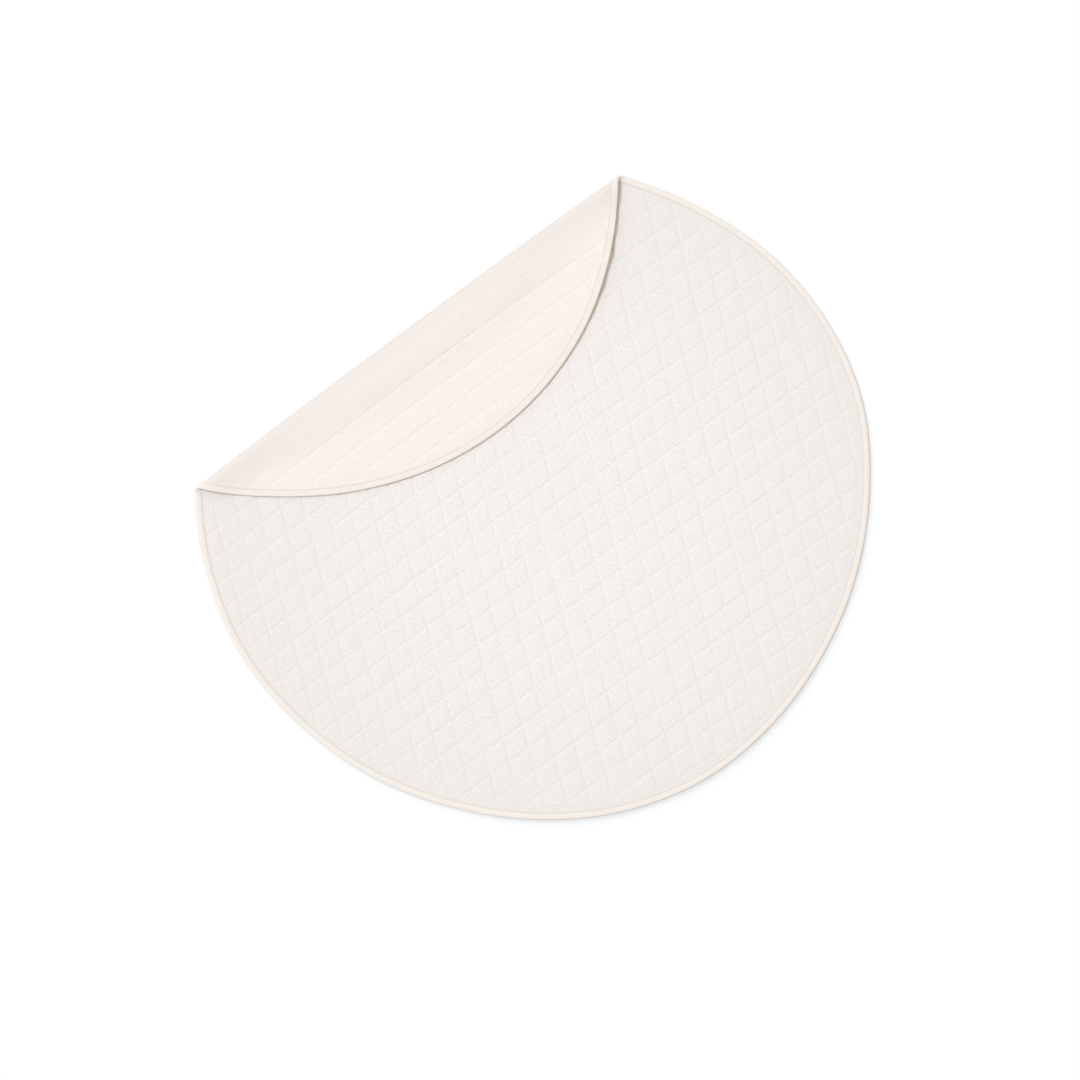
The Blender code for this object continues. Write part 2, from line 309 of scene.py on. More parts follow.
class Workbench:
    """Small steps that every piece needs: selecting, reading and writing a mesh."""

    @staticmethod
    def clear_selection() -> None:
        """Deselects every object."""
        bpy.ops.object.select_all(action="DESELECT")

    @staticmethod
    def active(piece: bpy.types.Object) -> None:
        """Makes this the one selected and active object.

        Args:
            piece: the object.
        """
        Workbench.clear_selection()
        piece.select_set(True)
        bpy.context.view_layer.objects.active = piece

    @staticmethod
    def points(piece: bpy.types.Object) -> np.ndarray:
        """The piece's vertices as rows of x, y and z.

        Args:
            piece: the piece.

        Returns:
            One row for each vertex.
        """
        mesh = piece.data
        flat = np.empty(len(mesh.vertices) * 3)
        mesh.vertices.foreach_get("co", flat)
        return flat.reshape(-1, 3)

    @staticmethod
    def move(piece: bpy.types.Object, points: np.ndarray) -> None:
        """Puts the piece's vertices at these points."""
        piece.data.vertices.foreach_set("co", points.astype(np.float32).ravel())
        piece.data.update()

    @staticmethod
    def write_uv(piece: bpy.types.Object, places: np.ndarray, wrap: float = 0.0) -> None:
        """Gives the piece the cloth's UV map.

        Args:
            piece: the piece.
            places: each vertex's place on the flat cloth, in metres.
            wrap: the length after which a closed strip of four-sided faces starts again.
        """
        mesh = piece.data
        layer = mesh.uv_layers.get(CLOTH_UV) or mesh.uv_layers.new(name=CLOTH_UV)
        corners = np.empty(len(mesh.loops), dtype=np.int32)
        mesh.loops.foreach_get("vertex_index", corners)
        placed = places[corners]
        if wrap:
            runs = placed[:, 0].reshape(-1, 4)
            split = np.ptp(runs, axis=1, keepdims=True) > wrap / 2
            placed[:, 0] = np.where(split & (runs < 0), runs + wrap, runs).ravel()
        layer.data.foreach_set("uv", placed.astype(np.float32).ravel())

    @staticmethod
    def select_faces(piece: bpy.types.Object, chosen: np.ndarray) -> None:
        """Selects these faces alone, ready for edit mode.

        Args:
            piece: the piece.
            chosen: True for each face that is selected.
        """
        mesh = piece.data
        mesh.vertices.foreach_set("select", np.zeros(len(mesh.vertices), dtype=bool))
        mesh.edges.foreach_set("select", np.zeros(len(mesh.edges), dtype=bool))
        mesh.polygons.foreach_set("select", chosen)

    @staticmethod
    def open_faces() -> None:
        """Opens edit mode with faces selectable."""
        bpy.context.tool_settings.mesh_select_mode = (False, False, True)
        bpy.ops.object.mode_set(mode="EDIT")

    @staticmethod
    def soften(piece: bpy.types.Object, angle_deg: float) -> None:
        """Shades the piece smoothly over edges below this angle."""
        Workbench.active(piece)
        bpy.ops.object.shade_smooth_by_angle(angle=math.radians(angle_deg))


@dataclass
class QuiltedPanel:
    """One of the two cloths with its half of the wadding, quilted, trimmed round and folded."""

    name: str
    node: str
    slot: str
    side: Side
    outline: MatOutline
    quilting: Quilting
    fold: Fold
    stitches: "QuiltingStitches | None" = None
    cells: int = 32
    close_steps: tuple[float, ...] = (
        0.0, 0.028, 0.068, 0.13, 0.23, 0.36, 0.5, 0.64, 0.77, 0.87, 0.932, 0.972,
    )
    under_steps: tuple[float, ...] = (0.0, 0.03, 0.09, 0.18, 0.5, 0.82, 0.91, 0.97)
    bent_steps: int = 16
    hidden_steps: int = 5
    bent_cells: tuple[int, int] = (8, 10)
    gap: float = 0.3 * MM
    rim_inset: float = 1.25 * MM
    rim_height: float = 1.12 * MM
    rim_from: float = 11.6 * MM
    rim_reach: float = 15 * MM
    stitch_height: float = 1.4 * MM
    plain_height: float = 2.5 * MM
    groove_rise: float = 0.85 * MM
    groove_width: float = 1.7 * MM
    dome_rise: float = 0.42 * MM
    pucker: float = 0.11 * MM
    gather_reach: float = 7 * MM
    groove_power: float = 1.4
    uneven: float = 0.10 * MM
    under_groove: float = 7 * MM
    bent_from: float = 298 * MM
    quilted_from: float = 372 * MM
    ease: float = 20 * MM
    outline_steps: int = 480
    strips: int = 26
    cross_strips: int = 15

    def row_values(self) -> np.ndarray:
        """The second set's line numbers of the grid's rows: fine where seen, even round the roll.

        Returns:
            The numbers, in order.
        """
        first_bent, last_bent = self.bent_cells
        seen_flap = self.side is Side.REVERSE
        rows: list[float] = []
        for cell in range(-self.cells // 2, self.cells // 2):
            if first_bent <= cell < last_bent:
                shares = [step / self.bent_steps for step in range(self.bent_steps)]
            elif cell >= last_bent:
                even = [step / self.hidden_steps for step in range(self.hidden_steps)]
                shares = list(self.close_steps) if seen_flap else even
            else:
                shares = list(self.under_steps if seen_flap else self.close_steps)
            rows += [cell + share for share in shares]
        rows.append(self.cells / 2)
        return np.array(rows)

    def column_values(self) -> np.ndarray:
        """The first set's line numbers of the grid's columns.

        Returns:
            The numbers, in order.
        """
        half = self.cells // 2
        columns = [cell + share for cell in range(-half, half) for share in self.close_steps]
        columns.append(half)
        return np.array(columns, dtype=float)

    def draw_grid(self) -> bpy.types.Object:
        """A grid primitive whose rows and columns are moved on to the quilting's own.

        Returns:
            The grid, flat at the origin.
        """
        columns = self.column_values()
        rows = self.row_values()
        Workbench.clear_selection()
        bpy.ops.mesh.primitive_grid_add(
            x_subdivisions=len(columns) - 1, y_subdivisions=len(rows) - 1, size=1
        )
        piece = bpy.context.object
        piece.name = self.name
        piece.data.name = self.name
        points = Workbench.points(piece)
        column = np.rint((points[:, 0] + 0.5) * (len(columns) - 1)).astype(int)
        row = np.rint((points[:, 1] + 0.5) * (len(rows) - 1)).astype(int)
        flat = self.quilting.place(np.column_stack((columns[column], rows[row])))
        Workbench.move(piece, np.column_stack((flat, np.zeros(len(flat)))))
        return piece

    def drop_outside(self, piece: bpy.types.Object) -> None:
        """Deletes the faces that lie wholly outside the mat.

        Args:
            piece: the grid, which leaves as a slab.
        """
        mesh = piece.data
        outside = self.outline.inside(Workbench.points(piece)[:, :2]) < -2 * MM
        corners = np.empty(len(mesh.loops), dtype=np.int32)
        mesh.loops.foreach_get("vertex_index", corners)
        beyond = outside[corners].reshape(-1, 4).all(axis=1)
        Workbench.select_faces(piece, beyond)
        Workbench.active(piece)
        Workbench.open_faces()
        bpy.ops.mesh.delete(type="FACE")
        bpy.ops.mesh.select_all(action="SELECT")
        bpy.ops.mesh.extrude_region_move(TRANSFORM_OT_translate={"value": (0, 0, 1)})
        bpy.ops.mesh.select_all(action="SELECT")
        bpy.ops.mesh.normals_make_consistent(inside=False)
        bpy.ops.object.mode_set(mode="OBJECT")

    def trim(self, piece: bpy.types.Object) -> None:
        """Cuts the slab to the mat's outline, inside the binding.

        Args:
            piece: the slab.
        """
        Workbench.clear_selection()
        bpy.ops.mesh.primitive_cylinder_add(
            vertices=self.outline_steps, radius=1, depth=4, location=(0, 0, 0.5)
        )
        cutter = bpy.context.object
        points = Workbench.points(cutter)
        bearing = np.arctan2(points[:, 1], points[:, 0])
        radius = self.outline.edge_radius(bearing) - self.rim_inset
        Workbench.move(cutter, np.column_stack((
            radius * np.cos(bearing), radius * np.sin(bearing), points[:, 2]
        )))
        Workbench.active(piece)
        cut = piece.modifiers.new("trim", "BOOLEAN")
        cut.operation = "INTERSECT"
        cut.object = cutter
        cut.solver = "MANIFOLD"
        bpy.ops.object.modifier_apply(modifier=cut.name)
        bpy.data.objects.remove(cutter)

    def quilt_height(self, flat: np.ndarray) -> np.ndarray:
        """The outer side's height where the quilting stands free.

        Args:
            flat: flat points.

        Returns:
            The height above the middle of the cloth at each point.
        """
        first, second = self.quilting.numbers(flat)
        to_first = np.abs(first - np.rint(first))
        to_second = np.abs(second - np.rint(second))
        first_gap = to_first * self.quilting.first.pitch
        second_gap = to_second * self.quilting.second.pitch
        groove = (1 - np.exp(-(first_gap / self.groove_width) ** self.groove_power)) * (
            1 - np.exp(-(second_gap / self.groove_width) ** self.groove_power)
        )
        dome = np.sin(math.pi * to_first) * np.sin(math.pi * to_second)
        own = 1 + 0.5 * (chance(np.floor(first), np.floor(second)) - 0.5)
        pull = 1 + 0.3 * np.sin(2.1 * first + 3.7 * second) * np.sin(2.9 * first - 1.3 * second + 1)
        height = self.stitch_height + self.groove_rise * pull * groove + self.dome_rise * own * dome
        return height + self.puckers(first, second, first_gap, second_gap) * groove ** 0.5

    def puckers(
        self, first: np.ndarray, second: np.ndarray, first_gap: np.ndarray, second_gap: np.ndarray
    ) -> np.ndarray:
        """The small gathers that run square to each stitched line, and the wadding's unevenness.

        Args:
            first: line numbers of the first set.
            second: line numbers of the second set.
            first_gap: distances to the nearest line of the first set.
            second_gap: distances to the nearest line of the second set.

        Returns:
            The extra height of each point.
        """
        first_phase = math.tau * chance(np.rint(first))
        second_phase = math.tau * chance(np.rint(second) + 50)
        along_first = np.sin(math.tau * 2.6 * second + first_phase)
        along_first = along_first + np.sin(math.tau * 1.7 * second - first_phase)
        along_second = np.sin(math.tau * 2.3 * first + second_phase)
        along_second = along_second + np.sin(math.tau * 1.6 * first - second_phase)
        gathers = along_first * np.exp(-first_gap / self.gather_reach)
        gathers = gathers + along_second * np.exp(-second_gap / self.gather_reach)
        waves = np.sin(1.9 * first + 0.7 * second) + np.sin(1.3 * second - 1.1 * first + 2)
        return self.pucker * gathers + self.uneven * waves

    def outer_height(self, flat: np.ndarray) -> np.ndarray:
        """The outer side's height above the middle of the cloth.

        Args:
            flat: flat points.

        Returns:
            The height at each point: quilted where it stands free, flat where it lies on the
            floor but for the stitched grooves, plain round the roll and thin under the binding.
        """
        across = self.fold.split(flat)[1]
        quilted = self.quilt_height(flat)
        on_flap = smooth((across - self.quilted_from) / self.ease)
        before_fold = smooth((self.bent_from + self.ease - across) / self.ease)
        if self.side is Side.FACE:
            height = self.plain_height + (quilted - self.plain_height) * np.maximum(on_flap, before_fold)
        else:
            first, second = self.quilting.numbers(flat)
            first_gap = np.abs(first - np.rint(first)) * self.quilting.first.pitch
            second_gap = np.abs(second - np.rint(second)) * self.quilting.second.pitch
            pressed = smooth(first_gap / self.under_groove) * smooth(second_gap / self.under_groove)
            under = self.stitch_height + (self.plain_height - self.stitch_height) * pressed
            height = self.plain_height + (under - self.plain_height) * before_fold
            height = height + (quilted - self.plain_height) * on_flap
        share = smooth((self.outline.inside(flat) - self.rim_from) / self.rim_reach)
        return self.rim_height + (height - self.rim_height) * share

    def cut_inner_side(self, piece: bpy.types.Object) -> None:
        """Merges the inner side into one face and cuts it into strips that follow the fold.

        Args:
            piece: the trimmed slab.
        """
        mesh = piece.data
        bm = bmesh.new()
        bm.from_mesh(mesh)
        inner = [face for face in bm.faces if face.normal.z < -0.5]
        bmesh.ops.dissolve_faces(bm, faces=inner, use_verts=True)
        along_way = direction(self.fold.bearing_deg)
        across_way = direction(self.fold.bearing_deg + 90)
        middle = np.zeros(1)
        start = float(self.fold.roll_start(middle)[0])
        length = math.pi * self.fold.radius
        drop = self.fold.drop_share * self.fold.flap_depth
        cuts = [(across_way, start + length * step / self.strips) for step in range(self.strips + 1)]
        cuts += [(across_way, start + length + drop * (step + 1) / 8) for step in range(8)]
        for step in range(self.cross_strips):
            share = math.sin(math.pi * ((step + 0.5) / self.cross_strips - 0.5))
            cuts.append((along_way, self.fold.reach * share))
        for way, distance in cuts:
            faces = [face for face in bm.faces if face.normal.z < -0.5]
            edges = {edge for face in faces for edge in face.edges}
            vertices = {vertex for face in faces for vertex in face.verts}
            bmesh.ops.bisect_plane(
                bm, geom=[*vertices, *edges, *faces], dist=MERGE,
                plane_co=(*(way * distance), 0), plane_no=(*way, 0),
            )
        flat_faces = [face for face in bm.faces if face.normal.z < -0.5]
        bmesh.ops.triangulate(bm, faces=flat_faces)
        bm.to_mesh(mesh)
        bm.free()

    def build(self) -> bpy.types.Object:
        """Returns:
            The finished panel.
        """
        piece = self.draw_grid()
        self.drop_outside(piece)
        self.trim(piece)
        self.cut_inner_side(piece)
        points = Workbench.points(piece)
        flat = points[:, :2].copy()
        outer = points[:, 2] > 0.5
        height = np.where(outer, self.outer_height(flat), self.gap / 2)
        Workbench.write_uv(piece, flat)
        Workbench.move(piece, self.fold.laid(np.column_stack((flat, height * self.side.value))))
        if self.side is Side.REVERSE:
            piece.data.flip_normals()
        Workbench.soften(piece, 50)
        return piece

    def dress(self, piece: bpy.types.Object, cloth: bpy.types.Material, sewn: list[bpy.types.Object]) -> None:
        """Gives the panel its cloth and its place in the frame.

        Args:
            piece: the built panel.
            cloth: its material.
            sewn: the stitching that lies on it; not used.
        """
        piece.data.materials.clear()
        piece.data.materials.append(cloth)
        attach(piece, BODY)
        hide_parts(self.node)
        self.outline.area()


@dataclass
class ThreadRun:
    """Many small stitches of one seam, each a spindle of thread sunk in the cloth."""

    name: str
    slot: str
    fold: Fold
    pitch: float = 3.6 * MM
    length: float = 2.7 * MM
    width: float = 0.75 * MM
    height: float = 0.5 * MM

    def spindles(
        self, centres: np.ndarray, ways: np.ndarray, heights: np.ndarray, side: Side
    ) -> bpy.types.Object:
        """Makes the stitches as one mesh.

        Args:
            centres: flat places of the stitches' middles.
            ways: unit vectors along the stitches.
            heights: height w of the cloth's surface at each.
            side: which way the surface looks.

        Returns:
            The stitches' object.
        """
        beside = np.column_stack((-ways[:, 1], ways[:, 0]))
        half = ways * self.length / 2
        out = beside * self.width / 2
        low = (heights - self.height * 0.35) * side.value
        high = (heights + self.height * 0.65) * side.value
        middle = (heights + self.height * 0.15) * side.value
        corners = [
            np.column_stack((centres - half, low)),
            np.column_stack((centres + half, low)),
            np.column_stack((centres - out, middle)),
            np.column_stack((centres + out, middle)),
            np.column_stack((centres, high)),
            np.column_stack((centres, low)),
        ]
        shaped = np.stack(corners, axis=1).reshape(-1, 3)
        laid = self.fold.laid(shaped)
        start, end, left, right, top, base = range(6)
        faces = np.array((
            (start, right, top), (right, end, top), (end, left, top), (left, start, top),
            (right, start, base), (end, right, base), (left, end, base), (start, left, base),
        ))
        if side is Side.REVERSE:
            faces = faces[:, ::-1]
        count = len(centres)
        all_faces = (faces[None, :, :] + 6 * np.arange(count)[:, None, None]).reshape(-1, 3)
        mesh = bpy.data.meshes.new(self.name)
        mesh.from_pydata(laid.tolist(), [], all_faces.tolist())
        mesh.update()
        piece = bpy.data.objects.new(self.name, mesh)
        bpy.context.scene.collection.objects.link(piece)
        Workbench.soften(piece, 70)
        return piece

    def along_path(self, path: np.ndarray) -> tuple[np.ndarray, np.ndarray]:
        """Spaces stitches evenly along a path.

        Args:
            path: flat points in order.

        Returns:
            The stitches' middles, and the unit vectors along them.
        """
        steps = np.linalg.norm(np.diff(path, axis=0), axis=1)
        run = np.concatenate(((0,), np.cumsum(steps)))
        marks = np.arange(self.pitch / 2, run[-1], self.pitch)
        x = np.interp(marks, run, path[:, 0])
        y = np.interp(marks, run, path[:, 1])
        ahead = np.column_stack((
            np.interp(marks + 0.5 * MM, run, path[:, 0]) - np.interp(marks - 0.5 * MM, run, path[:, 0]),
            np.interp(marks + 0.5 * MM, run, path[:, 1]) - np.interp(marks - 0.5 * MM, run, path[:, 1]),
        ))
        lengths = np.linalg.norm(ahead, axis=1)
        return np.column_stack((x, y)), ahead / lengths[:, None]

    def dress(self, piece: bpy.types.Object, thread: bpy.types.Material) -> None:
        """Gives the stitches their thread and their place in the frame.

        Args:
            piece: the built stitches.
            thread: their material.
        """
        piece.data.materials.append(thread)
        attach(piece, BODY)


@dataclass
class QuiltingStitches(ThreadRun):
    """The quilting's stitches on one cloth."""

    panel: QuiltedPanel | None = None
    edge_gap: float = 12.5 * MM

    def chosen(self, centres: np.ndarray) -> np.ndarray:
        """Which stitches show: not those under the flap, round the roll or under the binding.

        Args:
            centres: flat places of the stitches' middles.

        Returns:
            True for each stitch that shows.
        """
        across = self.fold.split(centres)[1]
        inside = self.panel.outline.inside(centres) > self.edge_gap
        lower = across < self.panel.bent_from
        if self.panel.side is Side.FACE:
            return inside & lower & (self.fold.below_flap(centres) < 4 * self.edge_gap)
        return inside & (lower | (across > self.panel.quilted_from))

    def build(self) -> bpy.types.Object:
        """Makes every stitch of both sets of lines.

        Returns:
            The stitches' object.
        """
        quilting = self.panel.quilting
        half = self.panel.cells // 2
        sweep = np.linspace(-half, half, 24 * half)
        centres, ways = [], []
        for line in range(-half, half + 1):
            fixed = np.full(len(sweep), float(line))
            for numbers in (np.column_stack((fixed, sweep)), np.column_stack((sweep, fixed))):
                middles, ahead = self.along_path(quilting.place(numbers))
                keep = self.chosen(middles)
                centres.append(middles[keep])
                ways.append(ahead[keep])
        middles = np.concatenate(centres)
        ahead = np.concatenate(ways)
        return self.spindles(middles, ahead, self.panel.outer_height(middles), self.panel.side)


@dataclass
class EdgeBinding:
    """The bias strip, folded over the raw edge all the way round and stitched down."""

    name: str
    node: str
    slot: str
    outline: MatOutline
    fold: Fold
    steps: int = 900
    strip_width: float = 28 * MM
    seam_inset: float = 9.6 * MM
    seed: int = 7
    upper: tuple[tuple[float, float], ...] = (
        (11.5, 1.62), (11.45, 1.88), (11.2, 2.08), (10.7, 2.16), (10.1, 1.98), (9.6, 1.82),
        (9.1, 1.98), (8.4, 2.16), (7.0, 2.3), (5.2, 2.26), (3.4, 2.02), (2.0, 1.66),
        (1.0, 1.14), (0.4, 0.5), (0.08, -0.2), (0.0, -0.75),
    )
    lower: tuple[tuple[float, float], ...] = (
        (0.12, -1.3), (0.5, -1.8), (1.1, -2.18), (2.0, -2.38), (3.4, -2.44), (5.2, -2.45),
        (7.0, -2.42), (8.4, -2.3), (9.1, -2.1), (9.6, -1.98), (10.1, -2.1), (10.7, -2.22),
        (11.2, -2.12), (11.45, -1.9), (11.5, -1.62),
    )
    lining: tuple[tuple[float, float], ...] = (
        (11.4, -1.45), (8.0, -1.42), (4.0, -1.45), (1.8, -1.3), (1.05, -0.8), (1.0, -0.2),
        (1.4, 0.35), (2.4, 0.95), (4.0, 1.25), (8.0, 1.42), (11.4, 1.45),
    )

    def section(self) -> list[tuple[float, float]]:
        """The closed section as distance inside the edge and height w, in millimetres."""
        return [*self.upper, *self.lower, *self.lining]

    def wobble(self, bearing: np.ndarray, waves: tuple[int, int], count: int, turn: int) -> np.ndarray:
        """A smooth, fixed unevenness round the edge, mostly between -1 and 1.

        Args:
            bearing: bearings in radians.
            waves: the fewest and the most waves round the mat.
            count: how many waves are added.
            turn: which of the seeded patterns.

        Returns:
            The unevenness at each bearing.
        """
        chooser = np.random.default_rng(self.seed + turn)
        total = np.zeros_like(bearing)
        for _ in range(count):
            number = int(chooser.integers(waves[0], waves[1]))
            total += np.sin(number * bearing + chooser.uniform(0, math.tau))
        return total / math.sqrt(count)

    def build(self) -> bpy.types.Object:
        """Spins the strip's section round the mat, ripples it and lays it over the fold.

        Returns:
            The finished binding.
        """
        section = self.section()
        mesh = bpy.data.meshes.new(self.name)
        radius = self.outline.radius
        corners = [(radius - inset * MM, 0, w * MM) for inset, w in section]
        sides = [(number, (number + 1) % len(corners)) for number in range(len(corners))]
        mesh.from_pydata(corners, sides, [])
        piece = bpy.data.objects.new(self.name, mesh)
        bpy.context.scene.collection.objects.link(piece)
        Workbench.active(piece)
        bpy.context.tool_settings.mesh_select_mode = (True, False, False)
        bpy.ops.object.mode_set(mode="EDIT")
        bpy.ops.mesh.select_all(action="SELECT")
        bpy.ops.mesh.spin(steps=self.steps, angle=math.tau, center=(0, 0, 0), axis=(0, 0, 1))
        bpy.ops.mesh.select_all(action="SELECT")
        bpy.ops.mesh.remove_doubles(threshold=0.00001)
        bpy.ops.mesh.normals_make_consistent(inside=False)
        bpy.ops.object.mode_set(mode="OBJECT")
        self.ripple(piece)
        Workbench.soften(piece, 60)
        return piece

    def ripple(self, piece: bpy.types.Object) -> None:
        """Bends the ring to the mat's edge, gathers it along its seam and lays it over the fold.

        Args:
            piece: the spun ring.
        """
        points = Workbench.points(piece)
        bearing = np.arctan2(points[:, 1], points[:, 0])
        inset = self.outline.radius - np.hypot(points[:, 0], points[:, 1])
        w = points[:, 2]
        skin = np.abs(w) > 1.55 * MM
        near_seam = np.exp(-((inset - self.seam_inset) / (3 * MM)) ** 2)
        gathers = self.wobble(bearing, (210, 420), 9, 0) * 0.09 * MM * (0.35 + near_seam)
        width = self.wobble(bearing, (20, 120), 7, 1) * 0.28 * MM * np.clip(inset / (11.5 * MM), 0, 1)
        w = np.where(skin, np.sign(w) * np.minimum(np.abs(w) + gathers, 2.48 * MM), w)
        radius = self.outline.edge_radius(bearing) - inset + width
        flat = np.column_stack((radius * np.cos(bearing), radius * np.sin(bearing)))
        places = np.column_stack((bearing * self.outline.radius, inset))
        Workbench.write_uv(piece, places, wrap=math.tau * self.outline.radius)
        Workbench.move(piece, self.fold.laid(np.column_stack((flat, w))))

    def dress(self, piece: bpy.types.Object, cloth: bpy.types.Material, sewn: list[bpy.types.Object]) -> None:
        """Gives the binding its cloth and its place in the frame.

        Args:
            piece: the built binding.
            cloth: its material.
            sewn: the stitching that lies on it; not used.
        """
        piece.data.materials.append(cloth)
        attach(piece, BODY)
        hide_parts(self.node)


@dataclass
class BindingStitches(ThreadRun):
    """The seam that holds the binding down, on both faces of the mat."""

    binding: EdgeBinding | None = None
    upper_surface: float = 1.82 * MM
    lower_surface: float = 1.98 * MM

    def build(self) -> bpy.types.Object:
        """Makes the seam on both faces as one piece.

        Returns:
            The stitches' object.
        """
        bearing = np.linspace(0, math.tau, 1441)
        radius = self.binding.outline.edge_radius(bearing) - self.binding.seam_inset
        path = np.column_stack((radius * np.cos(bearing), radius * np.sin(bearing)))
        middles, ahead = self.along_path(path)
        upper = self.spindles(middles, ahead, np.full(len(middles), self.upper_surface), Side.FACE)
        lower = self.spindles(middles, ahead, np.full(len(middles), self.lower_surface), Side.REVERSE)
        Workbench.active(upper)
        lower.select_set(True)
        bpy.ops.object.join()
        upper.name = self.name
        return upper


class NodeTree:
    """Adds nodes to one shader tree and links them."""

    def __init__(self, tree: bpy.types.NodeTree) -> None:
        """Takes the tree to work in."""
        self.tree = tree

    def add(self, kind: str, values: dict | None = None, **settings: object) -> bpy.types.Node:
        """Adds a node.

        Args:
            kind: the node's type.
            values: an input's name or number to a socket that is linked to it, or its value.
            settings: the node's own settings.

        Returns:
            The new node.
        """
        node = self.tree.nodes.new(kind)
        for setting, value in settings.items():
            setattr(node, setting, value)
        for key, value in (values or {}).items():
            if isinstance(value, bpy.types.NodeSocket):
                self.tree.links.new(value, node.inputs[key])
            else:
                node.inputs[key].default_value = value
        return node

    def maths(self, operation: str, first: object, second: object = 0.0) -> bpy.types.NodeSocket:
        """Adds a Math node and returns its result."""
        return self.add("ShaderNodeMath", {0: first, 1: second}, operation=operation).outputs[0]

    def blend(self, share: object, first: object, second: object) -> bpy.types.NodeSocket:
        """Mixes two colours and returns the result.

        Args:
            share: how much of the second colour, as a socket or a value.
            first: the first colour, as a socket or a value.
            second: the second colour, as a socket or a value.

        Returns:
            The mixed colour.
        """
        node = self.add("ShaderNodeMix", data_type="RGBA")
        for number, value in ((0, share), (6, first), (7, second)):
            if isinstance(value, bpy.types.NodeSocket):
                self.tree.links.new(value, node.inputs[number])
            else:
                node.inputs[number].default_value = value
        return node.outputs[2]


